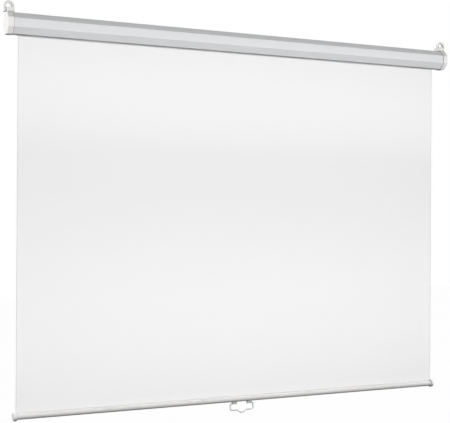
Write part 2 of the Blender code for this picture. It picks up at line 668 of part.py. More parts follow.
def handle_bracket(side, sign, bar):
    """A saddle under the tube with two ears, screwed up through its base."""
    middle = bracket_middle(sign)
    saddle = BAR_RADIUS + SEAT_GAP
    reach = math.degrees(math.asin(BRACKET_HALF_DEPTH / saddle))
    outline = [(saddle * math.sin(a), -saddle * math.cos(a))
               for a in angles(reach, -2 * reach, HALF_STEPS)]
    outline += [(BRACKET_EAR_RADIUS * math.cos(a), PIVOT_Z + BRACKET_EAR_RADIUS * math.sin(a))
                for a in angles(180, 180, HALF_STEPS)]
    half = BRACKET_LENGTH / 2
    ears = across(outline, middle - half, middle + half)
    body = solid(f"handle_bracket_{side}", "handle_plastic", ears, parent=bar)

    gap = half - BRACKET_EAR
    under = -saddle - BRACKET_BASE
    low = (middle - gap, -BRACKET_HALF_DEPTH * 2, under - BRACKET_LENGTH)
    high = (middle + gap, BRACKET_HALF_DEPTH * 2, under)
    change(body, "DIFFERENCE", solid(f"cut_ears_{side}", None, box_rings(low, high), parent=bar))

    ends = (middle - BRACKET_LENGTH, middle + BRACKET_LENGTH)
    pivot = [circle(x, HANDLE_PIN_RADIUS + RUNNING_GAP, ROUND_SMALL, z=PIVOT_Z) for x in ends]
    change(body, "DIFFERENCE", solid(f"cut_pivot_{side}", None, pivot, parent=bar))

    cone = under - SEAT_GAP
    stations = [
        (cone, BRACKET_SCREW_HEAD + 2 * SEAT_GAP),
        (under + BRACKET_SCREW_HEAD_HEIGHT, BRACKET_SCREW_RADIUS + SEAT_GAP),
        (-BAR_INNER, BRACKET_SCREW_RADIUS + SEAT_GAP),
    ]
    sink = [upright_circle(z, radius, ROUND_SMALL, x=middle) for z, radius in stations]
    change(body, "DIFFERENCE", solid(f"cut_sink_{side}", None, sink, parent=bar))

    stations = [
        (under, BRACKET_SCREW_HEAD),
        (under + BRACKET_SCREW_HEAD_HEIGHT, BRACKET_SCREW_RADIUS),
        (under + BRACKET_SCREW_LENGTH, BRACKET_SCREW_RADIUS),
    ]
    rings = [upright_circle(z, radius, ROUND_SMALL) for z, radius in stations]
    place = (middle, 0, 0)
    solid(f"bracket_screw_{side}", "screw_steel", rings, parent=bar, place=place, smooth=True)


def handle_half():
    """Right half of the handle's middle line, from its pin's end to the bottom of the lobe."""
    pin_end = BRACKET_OUT - BRACKET_LENGTH
    corner = HANDLE_CORNER
    wide = HANDLE_HALF_WIDTH
    down = -HANDLE_DROP
    bend = BRACKET_OUT + HANDLE_SIDE_GAP
    path = [
        (pin_end, 0.0, HANDLE_PIN_RADIUS),
        (bend - RUNNING_GAP, 0.0, HANDLE_PIN_RADIUS),
        (bend, 0.0, HANDLE_BAND),
    ]
    small = wide - bend
    for angle in angles(0, 90, QUARTER_STEPS)[1:]:
        path.append((wide - small * (1 - math.sin(angle)), -small * (1 - math.cos(angle)),
                     HANDLE_BAND))
    for angle in angles(0, 90, QUARTER_STEPS):
        path.append((wide - corner * (1 - math.cos(angle)), down + corner * (1 - math.sin(angle)),
                     HANDLE_BAND))
    lobe = HANDLE_LOBE_DROP - HANDLE_DROP
    for i in range(HALF_STEPS + 1):
        share = i / HALF_STEPS
        x = HANDLE_LOBE_HALF * (1 - share)
        path.append((x, down - lobe * (1 - math.cos(math.pi * share)) / 2, HANDLE_BAND))
    return path


def pull_handle(bar):
    """A bail with shoulders and a finger lobe. Its two pins turn in the brackets' ears."""
    right = handle_half()
    left = [(-x, z, radius) for x, z, radius in right[:-1]]
    path = left + right[::-1]
    rings = []
    for i, (x, z, radius) in enumerate(path):
        before = path[max(i - 1, 0)]
        after = path[min(i + 1, len(path) - 1)]
        forward = Vector((after[0] - before[0], 0, after[1] - before[1])).normalized()
        normal = Vector((-forward.z, 0, forward.x))
        depth = min(radius, HANDLE_DEPTH)
        turns = [2 * math.pi * (k + 0.5) / HANDLE_SIDES for k in range(HANDLE_SIDES)]
        rings.append([Vector((x, 0, z)) + radius * math.cos(t) * normal
                      + Vector((0, depth * math.sin(t), 0)) for t in turns])
    place = (HANDLE_OFFSET, 0, PIVOT_Z)
    solid("pull_handle", "handle_plastic", rings, parent=bar, place=place, smooth=True)


clear_scene()
PAINTS = {name: material(name, *look) for name, look in COLOURS.items()}

housing_case()
for end, direction in SIDES.items():
    end_cap(end, direction)
    hanger(end, direction)
    hanger_screw(end, direction)
    cap_screw(end, direction)
idle_bush()
spring_rod()
ratchet_wheel()
spring_anchor()

roller_axis = empty("roller_axis", (0, ROLLER_Y, 0))
roller_tube(roller_axis)
fabric_wraps(roller_axis)
idle_plug(roller_axis)
spring_plug(roller_axis)
torsion_spring(roller_axis)
pawl("a", 1, roller_axis)
pawl("b", -1, roller_axis)

screen_fabric()
bar_axis = empty("bar_axis", (0, FABRIC_Y, BAR_Z))
bottom_tube(bar_axis)
hem_rod(bar_axis)
for end, direction in SIDES.items():
    bar_cap(end, direction, bar_axis)
    handle_bracket(end, direction, bar_axis)
pull_handle(bar_axis)
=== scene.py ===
import json
import math

import bmesh
import bpy
from mathutils import Matrix, Vector


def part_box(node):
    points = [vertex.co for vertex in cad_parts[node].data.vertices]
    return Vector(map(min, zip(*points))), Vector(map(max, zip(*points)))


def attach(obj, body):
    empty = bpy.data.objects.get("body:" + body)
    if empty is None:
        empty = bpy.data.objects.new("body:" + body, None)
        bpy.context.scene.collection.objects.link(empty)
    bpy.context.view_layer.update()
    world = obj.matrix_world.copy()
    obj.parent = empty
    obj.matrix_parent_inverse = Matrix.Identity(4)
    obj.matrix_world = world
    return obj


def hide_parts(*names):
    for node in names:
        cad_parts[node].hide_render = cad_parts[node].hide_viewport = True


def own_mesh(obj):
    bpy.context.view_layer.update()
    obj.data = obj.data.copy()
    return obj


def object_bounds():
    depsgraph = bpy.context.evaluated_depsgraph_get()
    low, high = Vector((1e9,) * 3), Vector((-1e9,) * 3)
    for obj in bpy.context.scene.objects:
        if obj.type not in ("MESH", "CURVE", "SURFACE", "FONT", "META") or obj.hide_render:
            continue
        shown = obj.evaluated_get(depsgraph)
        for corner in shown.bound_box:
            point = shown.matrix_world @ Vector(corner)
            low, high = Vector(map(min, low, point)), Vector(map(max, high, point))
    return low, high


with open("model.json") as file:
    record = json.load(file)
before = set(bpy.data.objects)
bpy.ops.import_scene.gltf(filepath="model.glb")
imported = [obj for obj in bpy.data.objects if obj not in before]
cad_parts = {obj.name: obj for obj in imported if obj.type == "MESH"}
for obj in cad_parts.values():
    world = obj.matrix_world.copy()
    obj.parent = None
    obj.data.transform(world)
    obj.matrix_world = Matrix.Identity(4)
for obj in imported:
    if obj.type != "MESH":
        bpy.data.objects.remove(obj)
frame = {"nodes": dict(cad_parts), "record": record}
cad_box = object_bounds()

# The photograph's camera, found from the edges of the housing, cloth and bar
CAMERA_PLACE = Vector((-1.5494, -3.1494, -0.5964))
CAMERA_YAW = math.radians(25.270)  # turned from +Y towards +X
CAMERA_PITCH = math.radians(0.210)
CAMERA_ROLL = math.radians(0.315)
SENSOR = 36.0
LENS = 80.0036

# Sizes that the CAD pieces' boxes don't give
CASE_SHEET = 0.001
CASE_BEND = 0.0018  # outer radius of the housing's folds
CASE_BEND_STEPS = 5
HOLE_SIDES = 32
SLOT_AHEAD = 0.006
SLOT_BEHIND = 0.002
SLOT_LIP = 0.005
SPIGOT_LENGTH = 0.0157
SPIGOT_WALL = 0.002
COLLAR_SEAM = 0.002  # open groove between the housing and each collar
SEAM_DEPTH = 0.0013  # further into the spigot
SEAT_GAP = 0.0003
CAP_CORNER = 0.0026  # radius along the collar's eight corners
CAP_RIM = 0.0016  # radius round the collar's outer face
CAP_SEAM = 0.0006  # rounding of the collar's edge beside the housing
CAP_STEPS = 4
CAP_RIM_STEPS = 5
CAVITY_CORNER = 0.001
CAP_PLATE = 0.0035
BOSS_STAND_OFF = 0.0062
BOSS_RADIUS = 0.009
BOSS_BORE = 0.0036
BOSS_SIDES = 48
LIP_NOTCH = 0.0006
NOTCH_ROUNDING = 0.0001
EYE_HALF_DEPTH = 0.005
EYE_HALF_WIDTH = 0.004
EYE_ACROSS = 0.013  # eye's middle line from its centre, sideways
EYE_SPRING = 0.019  # where the legs end and the arch starts, over the foot's underside
EYE_CENTRE_IN = 0.009
EYE_STEPS = 28
EYE_SECTION = 32
FOOT_OUTER = 0.8375
FOOT_INNER = 0.8150
FOOT_HEIGHT = 0.0135
FOOT_ROUNDING = 0.0014
WEB_TOP = 0.0142
WEB_BOTTOM = 0.004
WEB_DEPTH = 0.92  # of the eye's
WEB_ROUNDING = 0.0008
BAR_WALL = 0.0012
BAR_SLOT = 0.003
BAR_STEPS = 72
BAR_CAP_SIDES = 64
BAR_CAP_ROUNDING = 0.0055
BAR_CAP_STEPS = 10
BAR_CAP_EDGE = 0.0005  # chamfer beside the tube
BAR_CAP_DISH = 0.0004
BAR_CAP_DISH_RIM = 0.0012
BAR_PLUG_LENGTH = 0.013
BAR_PLUG_TAPER = 0.0006
BAR_CAP_SLOT = 0.0026  # in each cap, for the cloth's side edge
SLIT_ROUNDING = 0.0002
BACK_HEAD_DEPTH = 0.0016
SADDLE_HEAD_DEPTH = 0.0014
SCREW_SHANK = 0.0014
SCREW_TIP = 0.0006
SCREW_TIP_SHARE = 0.7  # of the shank's radius
SCREW_RIM = 0.0002
SCREW_SIDES = 32
HEAD_RECESS = 0.0007
RECESS_REACH = 0.55  # each arm, of the head's radius
RECESS_WIDTH = 0.10
RECESS_ROUNDING = 0.00002
BRACKET_EDGE = 0.00035
WELD = 0.000005  # points this close are one
CLOTH_THICKNESS = 0.0004
CLOTH_EDGE = 0.0014  # width of the grey strip along each side edge
CLOTH_CURL_WIDTH = 0.012
CLOTH_CURL = 0.00025
CLOTH_FLAT_NEAR = 0.030  # the curl fades out this close to the bar and the housing
CLOTH_CURL_STEPS = 8
CLOTH_COLUMNS = 24  # from the middle to where the curl starts
CLOTH_ROWS = 60
ROLL_TURNS = 2
ROLL_STEPS = 64  # to a turn
ROLL_CLOTH = 0.0003
HANDLE_PIN_RADIUS = 0.0017
HANDLE_PIN_IN = 0.020  # inner end of each pin from the handle's middle
HANDLE_BEND_START = 0.0379
HANDLE_HALF_WIDTH = 0.0437
HANDLE_DROP = 0.0225
HANDLE_LOBE_DROP = 0.0320
HANDLE_LOBE_HALF = 0.020
HANDLE_CORNER = 0.007
HANDLE_BAND = 0.003
HANDLE_NECK = 0.93  # of the band, where the pin's shoulder starts
HANDLE_DEPTH = 0.0022
HANDLE_BEND_STEPS = 10
HANDLE_LOBE_STEPS = 24
HANDLE_SECTION = 20
FLOOR_BELOW = 3.0  # floor under the lowest point of the object
FLOOR_HALF = 40
FLOOR_COLOUR = 0.10
FLOOR_GLOW = 0.985  # as seen, where 1 is the background's white
ROUGHNESS_SPREAD = 0.05
GRAIN_HEIGHT = 0.0001
BRUSH_STRETCH = 0.02
WEAVE_HEIGHT = 0.00004
WEAVE_BUMP = 0.12
WAVE_BANDS = 3.18  # bands to the metre that the wave texture draws at scale 1
SOFT_POWER = 0.82
BLUNT_POWER = 0.42

CASE_LOW, CASE_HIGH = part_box("housing_case")
CLOTH_LOW, CLOTH_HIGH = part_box("screen_fabric")
BAR_LOW, BAR_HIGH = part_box("bottom_tube")
HANDLE_LOW, HANDLE_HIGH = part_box("pull_handle")
ROLL_LOW, ROLL_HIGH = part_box("fabric_wraps")
FLANGE_OUT = -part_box("spring_plug")[0].x
CASE_Y = (CASE_LOW.y + CASE_HIGH.y) / 2
CASE_HALF = CASE_HIGH.z
CLOTH_Y = (CLOTH_LOW.y + CLOTH_HIGH.y) / 2
ROLLER_Y = (ROLL_LOW.y + ROLL_HIGH.y) / 2
BAR_Z = (BAR_LOW.z + BAR_HIGH.z) / 2
BAR_RADIUS = (BAR_HIGH.z - BAR_LOW.z) / 2
EIGHTH = math.tan(math.radians(22.5))
SIDES = {"left": -1, "right": 1}


def material(name, colour, roughness, metallic=0.0, mottle=0.02, mottle_scale=6.0,
             grain=900.0, bump=0.08, brushed=False, gloss=0.5):
    """A surface with slight variation of colour and roughness, and a fine grain in its bump."""
    made = bpy.data.materials.new(name)
    made.use_nodes = True
    nodes = made.node_tree.nodes
    links = made.node_tree.links
    shader = nodes["Principled BSDF"]
    shader.inputs["Metallic"].default_value = metallic
    shader.inputs["Specular IOR Level"].default_value = gloss
    place = nodes.new("ShaderNodeTexCoord")
    blotch = nodes.new("ShaderNodeTexNoise")
    blotch.inputs["Scale"].default_value = mottle_scale
    blotch.inputs["Detail"].default_value = 4.0
    links.new(place.outputs["Object"], blotch.inputs["Vector"])
    tint = nodes.new("ShaderNodeMix")
    tint.data_type = "RGBA"
    tint.inputs["A"].default_value = (*[c * (1 - mottle) for c in colour], 1)
    tint.inputs["B"].default_value = (*[min(1.0, c * (1 + mottle)) for c in colour], 1)
    links.new(blotch.outputs["Fac"], tint.inputs["Factor"])
    links.new(tint.outputs["Result"], shader.inputs["Base Color"])
    rough = nodes.new("ShaderNodeMapRange")
    rough.inputs["To Min"].default_value = roughness - ROUGHNESS_SPREAD
    rough.inputs["To Max"].default_value = roughness + ROUGHNESS_SPREAD
    links.new(blotch.outputs["Fac"], rough.inputs["Value"])
    links.new(rough.outputs["Result"], shader.inputs["Roughness"])
    fine = nodes.new("ShaderNodeTexNoise")
    fine.inputs["Scale"].default_value = grain
    fine.inputs["Detail"].default_value = 2.0
    if brushed:
        stretch = nodes.new("ShaderNodeMapping")
        stretch.inputs["Scale"].default_value = (BRUSH_STRETCH, 1.0, 1.0)
        links.new(place.outputs["Object"], stretch.inputs["Vector"])
        links.new(stretch.outputs["Vector"], fine.inputs["Vector"])
    else:
        links.new(place.outputs["Object"], fine.inputs["Vector"])
    relief = nodes.new("ShaderNodeBump")
    relief.inputs["Strength"].default_value = bump
    relief.inputs["Distance"].default_value = GRAIN_HEIGHT
    links.new(fine.outputs["Fac"], relief.inputs["Height"])
    links.new(relief.outputs["Normal"], shader.inputs["Normal"])
    return made


def weave(name, colour, roughness, thread):
    """Matte coated cloth: two crossed sets of threads in the bump, and a faint mottle."""
    made = material(name, colour, roughness, mottle=0.006, mottle_scale=3.0, bump=0.0)
    nodes = made.node_tree.nodes
    links = made.node_tree.links
    place = nodes.new("ShaderNodeTexCoord")
    sets = []
    for direction in ("X", "Z"):
        threads = nodes.new("ShaderNodeTexWave")
        threads.wave_type = "BANDS"
        threads.bands_direction = direction
        threads.inputs["Scale"].default_value = 1 / (thread * WAVE_BANDS)
        threads.inputs["Distortion"].default_value = 0.3
        links.new(place.outputs["Object"], threads.inputs["Vector"])
        sets.append(threads)
    crossed = nodes.new("ShaderNodeMath")
    crossed.operation = "MAXIMUM"
    links.new(sets[0].outputs["Fac"], crossed.inputs[0])
    links.new(sets[1].outputs["Fac"], crossed.inputs[1])
    relief = nodes.new("ShaderNodeBump")
    relief.inputs["Strength"].default_value = WEAVE_BUMP
    relief.inputs["Distance"].default_value = WEAVE_HEIGHT
    links.new(crossed.outputs["Value"], relief.inputs["Height"])
    links.new(relief.outputs["Normal"], nodes["Principled BSDF"].inputs["Normal"])
    return made


PAINTS = {
    "case_paint": material("case_paint", (0.76, 0.765, 0.775), 0.6, grain=1400, bump=0.10,
                           gloss=0.05),
    "cap_plastic": material("cap_plastic", (0.87, 0.86, 0.845), 0.6, grain=2200, bump=0.12,
                            gloss=0.08),
    "hanger_plastic": material("hanger_plastic", (0.80, 0.80, 0.78), 0.5, grain=2200, bump=0.12,
                               gloss=0.15),
    "bar_paint": material("bar_paint", (0.68, 0.675, 0.665), 0.6, grain=1400, bump=0.08,
                          gloss=0.05),
    "bar_cap_plastic": material("bar_cap_plastic", (0.68, 0.68, 0.69), 0.5, grain=2200, bump=0.12,
                                gloss=0.15),
    "handle_plastic": material("handle_plastic", (0.68, 0.71, 0.68), 0.45, grain=2400, bump=0.12,
                               gloss=0.3),
    "screen_cloth": weave("screen_cloth", (0.88, 0.875, 0.88), 0.88, 0.0006),
    "cloth_edge": material("cloth_edge", (0.52, 0.52, 0.52), 0.9, grain=3000, bump=0.2),
    "roller_steel": material("roller_steel", (0.62, 0.63, 0.65), 0.35, 0.9, grain=2600,
                             brushed=True),
    "spring_steel": material("spring_steel", (0.30, 0.30, 0.32), 0.35, 0.9, grain=2600, bump=0.1),
    "screw_steel": material("screw_steel", (0.60, 0.60, 0.62), 0.30, 0.9, grain=2600, bump=0.1),
    "plug_plastic": material("plug_plastic", (0.20, 0.20, 0.21), 0.50, grain=1800, bump=0.15),
    "hem_plastic": material("hem_plastic", (0.75, 0.75, 0.75), 0.50, grain=1800, bump=0.1),
}
SLOT_OF = {s["node"]: s["material_slot"] for s in frame["record"]["subparts"]}
BODY_OF = {n: body for body, names in frame["record"]["behaviour"]["bodies"].items() for n in names}


def angles(start, sweep, steps):
    """Evenly spaced angles in radians, from degrees, both ends included."""
    return [math.radians(start + sweep * i / steps) for i in range(steps + 1)]


def skin(shape, rings, loop=False):
    """Faces between rings of points; open runs are capped, a loop joins its ends."""
    rows = [[shape.verts.new(point) for point in ring] for ring in rings]
    pairs = list(zip(rows, rows[1:]))
    if loop:
        pairs.append((rows[-1], rows[0]))
    for near, far in pairs:
        for i in range(len(near)):
            j = (i + 1) % len(near)
            shape.faces.new((near[i], near[j], far[j], far[i]))
    if not loop:
        shape.faces.new(rows[0])
        shape.faces.new(rows[-1])


def mesh_of(name, parts):
    """One mesh from parts, each a pair of rings and whether they loop."""
    shape = bmesh.new()
    for rings, loop in parts:
        skin(shape, rings, loop)
    bmesh.ops.recalc_face_normals(shape, faces=shape.faces)
    mesh = bpy.data.meshes.new(name)
    shape.to_mesh(mesh)
    shape.free()
    made = bpy.data.objects.new(name, mesh)
    bpy.context.scene.collection.objects.link(made)
    return made


def combine(target, operation, tool):
    """Applies a Boolean of target with tool, and removes the tool."""
    step = target.modifiers.new("combine", "BOOLEAN")
    step.operation = operation
    step.solver = "EXACT"
    step.object = tool
    settled = bpy.context.evaluated_depsgraph_get()
    mesh = bpy.data.meshes.new_from_object(target.evaluated_get(settled))
    target.modifiers.clear()
    target.data = mesh
    bpy.data.objects.remove(tool, do_unlink=True)


def dress(made, node, also=(), sharp=30, weighted=True):
    """Gives a new piece its node's finish and body, and hides the CAD piece it stands for."""
    made.data.materials.clear()
    made.data.materials.append(PAINTS[SLOT_OF[node]])
    made.data.shade_smooth()
    made.data.set_sharp_from_angle(angle=math.radians(sharp))
    if weighted:
        even = made.modifiers.new("even_normals", "WEIGHTED_NORMAL")
        even.keep_sharp = True
    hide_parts(node, *also)
    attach(made, BODY_OF[node])
    return made


def rounded(points, radius, steps, closed=True):
    """The points of a flat outline with each corner turned into an arc."""
    made = []
    last = len(points) - 1
    for i, corner in enumerate(points):
        if not closed and i in (0, last):
            made.append(corner)
            continue
        back = (points[i - 1] - corner).normalized()
        ahead = (points[(i + 1) % len(points)] - corner).normalized()
        between = back.angle(ahead)
        centre = corner + (back + ahead).normalized() * (radius / math.sin(between / 2))
        start = corner + back * (radius / math.tan(between / 2)) - centre
        end = corner + ahead * (radius / math.tan(between / 2)) - centre
        turn = math.pi - between
        for k in range(steps + 1):
            share = k / steps
            made.append(centre + (start * math.sin((1 - share) * turn)
                                  + end * math.sin(share * turn)) / math.sin(turn))
    return made


def offset(points, distance):
    """An open outline moved to its right-hand side, with mitred corners."""
    normals = []
    for a, b in zip(points, points[1:]):
        run = (b - a).normalized()
        normals.append(Vector((run.y, -run.x)))
    made = []
    for i, point in enumerate(points):
        before = normals[max(i - 1, 0)]
        after = normals[min(i, len(normals) - 1)]
        made.append(point + (before + after) * (distance / (1 + before.dot(after))))
    return made


def along_x(outline, stations):
    """The same outline at each station along X."""
    return [[Vector((x, p.x, p.y)) for p in outline] for x in stations]


def ring_x(x, radius, count, y, z):
    """A ring of points round an axis along X."""
    return [Vector((x, y + radius * math.cos(a), z + radius * math.sin(a)))
            for a in (2 * math.pi * (i + 0.5) / count for i in range(count))]


def rounded_box(name, low, high, radius, steps=3):
    """A box between two corners, with its edges rounded."""
    shape = bmesh.new()
    bmesh.ops.create_cube(shape, size=1.0)
    size = Vector(high) - Vector(low)
    middle = (Vector(high) + Vector(low)) / 2
    for vert in shape.verts:
        vert.co = Vector([c * s for c, s in zip(vert.co, size)]) + middle
    bmesh.ops.bevel(shape, geom=shape.edges[:], offset=radius, segments=steps,
                    affect="EDGES", profile=0.5)
    mesh = bpy.data.meshes.new(name)
    shape.to_mesh(mesh)
    shape.free()
    made = bpy.data.objects.new(name, mesh)
    bpy.context.scene.collection.objects.link(made)
    return made


def octagon_points(reach):
    """The corners of an upright octagon, reach being half its width across flats."""
    side = reach * EIGHTH
    return [Vector(p) for p in (
        (-side, -reach), (-reach, -side), (-reach, side), (-side, reach),
        (side, reach), (reach, side), (reach, -side), (side, -reach))]


def housing():
    """Bent sheet with rounded folds, open along its underside, with an upturned front lip."""
    corners = octagon_points(CASE_HALF)
    ahead = CLOTH_Y - SLOT_AHEAD - CASE_Y
    behind = CLOTH_Y + SLOT_BEHIND - CASE_Y
    path = [Vector((ahead, -CASE_HALF + SLOT_LIP)), Vector((ahead, -CASE_HALF))]
    path += corners + [Vector((behind, -CASE_HALF))]
    outer = rounded(path, CASE_BEND, CASE_BEND_STEPS, closed=False)
    outline = outer + offset(outer, CASE_SHEET)[::-1]
    outline = [point + Vector((CASE_Y, 0)) for point in outline]
    made = mesh_of("housing_shell", [(along_x(outline, (CASE_LOW.x, CASE_HIGH.x)), False)])
    for side in SIDES:
        low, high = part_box(f"cap_screw_{side}")
        middle, head = (low + high) / 2, (high.x - low.x) / 2 + SEAT_GAP
        cone = [(SEAT_GAP, head), (-SEAT_GAP, head), (-CASE_SHEET - SEAT_GAP, head - CASE_SHEET)]
        rings = [[Vector((middle.x + r * math.cos(t), y, middle.z + r * math.sin(t)))
                  for t in angles(0, 360, HOLE_SIDES)[:-1]] for y, r in cone]
        combine(made, "DIFFERENCE", mesh_of("screw_hole", [(rings, False)]))
    dress(made, "housing_case")


def end_cap(side, sign):
    """A collar with softened corners and rim, a spigot inside the housing, and the boss."""
    low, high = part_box(f"end_cap_{side}")
    face = high.x if sign > 0 else -low.x
    collar = (high.z - low.z) / 2
    inner = CASE_HIGH.x + COLLAR_SEAM
    spigot = CASE_HALF - CASE_SHEET - SEAT_GAP
    cavity = spigot - SPIGOT_WALL
    stations = [
        (face - CAP_PLATE, cavity, CAVITY_CORNER), (inner - SPIGOT_LENGTH, cavity, CAVITY_CORNER),
        (inner - SPIGOT_LENGTH, spigot, CAP_CORNER), (CASE_HIGH.x, spigot, CAP_CORNER),
        (CASE_HIGH.x, spigot - SEAM_DEPTH, CAP_CORNER), (inner, spigot - SEAM_DEPTH, CAP_CORNER),
    ]
    stations += [(inner + CAP_SEAM * (1 - math.cos(angle)),
                  collar - CAP_SEAM * (1 - math.sin(angle)), CAP_CORNER)
                 for angle in angles(0, 90, CAP_STEPS)]
    for angle in angles(0, 90, CAP_RIM_STEPS):
        stations.append((face - CAP_RIM * (1 - math.sin(angle)),
                         collar - CAP_RIM * (1 - math.cos(angle)), CAP_CORNER))
    rings = []
    for x, reach, corner in stations:
        outline = rounded(octagon_points(reach), corner, CAP_STEPS)
        outline = [point + Vector((CASE_Y, 0)) for point in outline]
        rings.append([Vector((sign * x, p.x, p.y)) for p in outline])
    boss_end = FLANGE_OUT + BOSS_STAND_OFF
    bore = BOSS_BORE if sign < 0 else (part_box("idle_bush")[1].z + SEAT_GAP)
    deep = face - CAP_PLATE / 2
    boss = [ring_x(sign * x, radius, BOSS_SIDES, ROLLER_Y, 0) for x, radius in (
        (boss_end, BOSS_RADIUS), (deep, BOSS_RADIUS), (deep, bore), (boss_end, bore))]
    made = mesh_of(f"collar_{side}", [(rings, False), (boss, True)])
    lip = CLOTH_Y - SLOT_AHEAD
    xs = sorted((sign * inner, sign * (inner - 2 * SPIGOT_LENGTH)))
    notch = rounded_box("notch", (xs[0], lip - CASE_SHEET - LIP_NOTCH, -CASE_HALF),
                        (xs[1], lip + LIP_NOTCH, -CASE_HALF + SLOT_LIP + LIP_NOTCH),
                        NOTCH_ROUNDING, 1)
    combine(made, "DIFFERENCE", notch)
    dress(made, f"end_cap_{side}")


def eye(side, sign):
    """A hanging eye of rounded section, a web under its hole and a rounded foot."""
    low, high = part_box(f"hanger_{side}")
    cap_low, cap_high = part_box(f"end_cap_{side}")
    centre = sign * ((cap_high.x if sign > 0 else -cap_low.x) - EYE_CENTRE_IN)
    base = low.z
    rise = high.z - base - EYE_HALF_WIDTH - EYE_SPRING
    path = [(EYE_ACROSS, 0.0)]
    path += [(EYE_ACROSS * math.cos(a), EYE_SPRING + rise * math.sin(a))
             for a in angles(0, 180, EYE_STEPS)]
    path += [(-EYE_ACROSS, 0.0)]
    rings = []
    for i, (x, z) in enumerate(path):
        before, after = path[max(i - 1, 0)], path[min(i + 1, len(path) - 1)]
        run = Vector((after[0] - before[0], 0, after[1] - before[1])).normalized()
        out = Vector((-run.z, 0, run.x))
        middle = Vector((centre + x, CASE_Y, base + z))
        rings.append([middle + out * EYE_HALF_WIDTH * blunt(math.cos(t))
                      + Vector((0, EYE_HALF_DEPTH * blunt(math.sin(t)), 0))
                      for t in (2 * math.pi * (k + 0.5) / EYE_SECTION for k in range(EYE_SECTION))])
    made = mesh_of(f"eye_{side}", [(rings, False)])
    deep = EYE_HALF_DEPTH * WEB_DEPTH
    web = rounded_box("web", (centre - EYE_ACROSS, CASE_Y - deep, base + WEB_BOTTOM),
                      (centre + EYE_ACROSS, CASE_Y + deep, base + WEB_TOP), WEB_ROUNDING)
    combine(made, "UNION", web)
    foot = sorted((sign * FOOT_OUTER, sign * FOOT_INNER))
    block = rounded_box("foot", (foot[0], low.y, base), (foot[1], high.y, base + FOOT_HEIGHT),
                        FOOT_ROUNDING)
    combine(made, "UNION", block)
    dress(made, f"hanger_{side}", sharp=40)


def blunt(value):
    """A cosine or sine made much squarer, for a section that is a box with rounded corners."""
    return math.copysign(abs(value) ** BLUNT_POWER, value)


def soft(value):
    """A cosine or sine made a little squarer, for a section between an ellipse and a box."""
    return math.copysign(abs(value) ** SOFT_POWER, value)


def cloth():
    """One taut sheet from the roller into the bar, its side edges curling very slightly and grey
    along a narrow strip.
    """
    half = CLOTH_HIGH.x
    inside = half - CLOTH_CURL_WIDTH
    steps = [inside + CLOTH_CURL_WIDTH * i / CLOTH_CURL_STEPS for i in range(1, CLOTH_CURL_STEPS)]
    right = [inside * i / CLOTH_COLUMNS for i in range(1, CLOTH_COLUMNS + 1)]
    right += steps + [half - CLOTH_EDGE, half]
    right = sorted(set(round(x, 6) for x in right))
    columns = [-x for x in right[::-1]] + [0.0] + right
    rows = [CLOTH_LOW.z + (CLOTH_HIGH.z - CLOTH_LOW.z) * i / CLOTH_ROWS
            for i in range(CLOTH_ROWS + 1)]
    shape = bmesh.new()

    def lean(x, z):
        """How far the cloth curls forward at a point."""
        out = max(0.0, (abs(x) - inside) / CLOTH_CURL_WIDTH)
        end = min(1.0, min(z - BAR_HIGH.z, CASE_LOW.z - z) / CLOTH_FLAT_NEAR)
        end = max(0.0, end)
        return -CLOTH_CURL * out * out * end * end * (3 - 2 * end)

    layers = []
    for face in (-1, 1):
        layers.append([[shape.verts.new((x, CLOTH_Y + face * CLOTH_THICKNESS / 2 + lean(x, z), z))
                        for x in columns] for z in rows])
    wide, high = len(columns) - 1, len(rows) - 1
    for layer in layers:
        for r in range(high):
            for c in range(wide):
                face = shape.faces.new((layer[r][c], layer[r][c + 1],
                                        layer[r + 1][c + 1], layer[r + 1][c]))
                face.material_index = int(abs(columns[c] + columns[c + 1]) / 2 > half - CLOTH_EDGE)
    front, back = layers
    for r in range(high):
        for c in (0, wide):
            face = shape.faces.new((front[r][c], front[r + 1][c], back[r + 1][c], back[r][c]))
            face.material_index = 1
    for c in range(wide):
        for r in (0, high):
            shape.faces.new((front[r][c], front[r][c + 1], back[r][c + 1], back[r][c]))
    bmesh.ops.recalc_face_normals(shape, faces=shape.faces)
    mesh = bpy.data.meshes.new("hanging_cloth")
    shape.to_mesh(mesh)
    shape.free()
    made = bpy.data.objects.new("hanging_cloth", mesh)
    bpy.context.scene.collection.objects.link(made)
    edges = [face.material_index for face in mesh.polygons]
    dress(made, "screen_fabric", sharp=50, weighted=False)
    mesh.materials.append(PAINTS["cloth_edge"])
    mesh.polygons.foreach_set("material_index", edges)
    return made


def cloth_roll():
    """The turns that stay on the roller, as one spiral of cloth."""
    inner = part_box("roller_tube")[1].z + SEAT_GAP
    outer = ROLL_HIGH.z
    steps = ROLL_TURNS * ROLL_STEPS
    climb = (outer - inner - ROLL_CLOTH) / steps
    outline = []
    for edge, order in ((0.0, range(steps + 1)), (ROLL_CLOTH, range(steps, -1, -1))):
        for i in order:
            angle = 2 * math.pi * ROLL_TURNS * i / steps
            radius = inner + climb * i + edge
            outline.append(Vector((ROLLER_Y + radius * math.cos(angle), radius * math.sin(angle))))
    made = mesh_of("cloth_roll", [(along_x(outline, (ROLL_LOW.x, ROLL_HIGH.x)), False)])
    return dress(made, "fabric_wraps", weighted=False)


def bar_tube():
    """A round tube with a narrow slot along its top for the cloth's hem."""
    opening = math.degrees(math.asin(BAR_SLOT / 2 / BAR_RADIUS))
    sweep = angles(90 + opening, 360 - 2 * opening, BAR_STEPS)
    inner = BAR_RADIUS - BAR_WALL
    outline = [Vector((BAR_RADIUS * math.cos(a), BAR_RADIUS * math.sin(a))) for a in sweep]
    outline += [Vector((inner * math.cos(a), inner * math.sin(a))) for a in sweep[::-1]]
    outline = [p + Vector((CLOTH_Y, BAR_Z)) for p in outline]
    made = mesh_of("bar_tube", [(along_x(outline, (BAR_LOW.x, BAR_HIGH.x)), False)])
    dress(made, "bottom_tube", weighted=False)


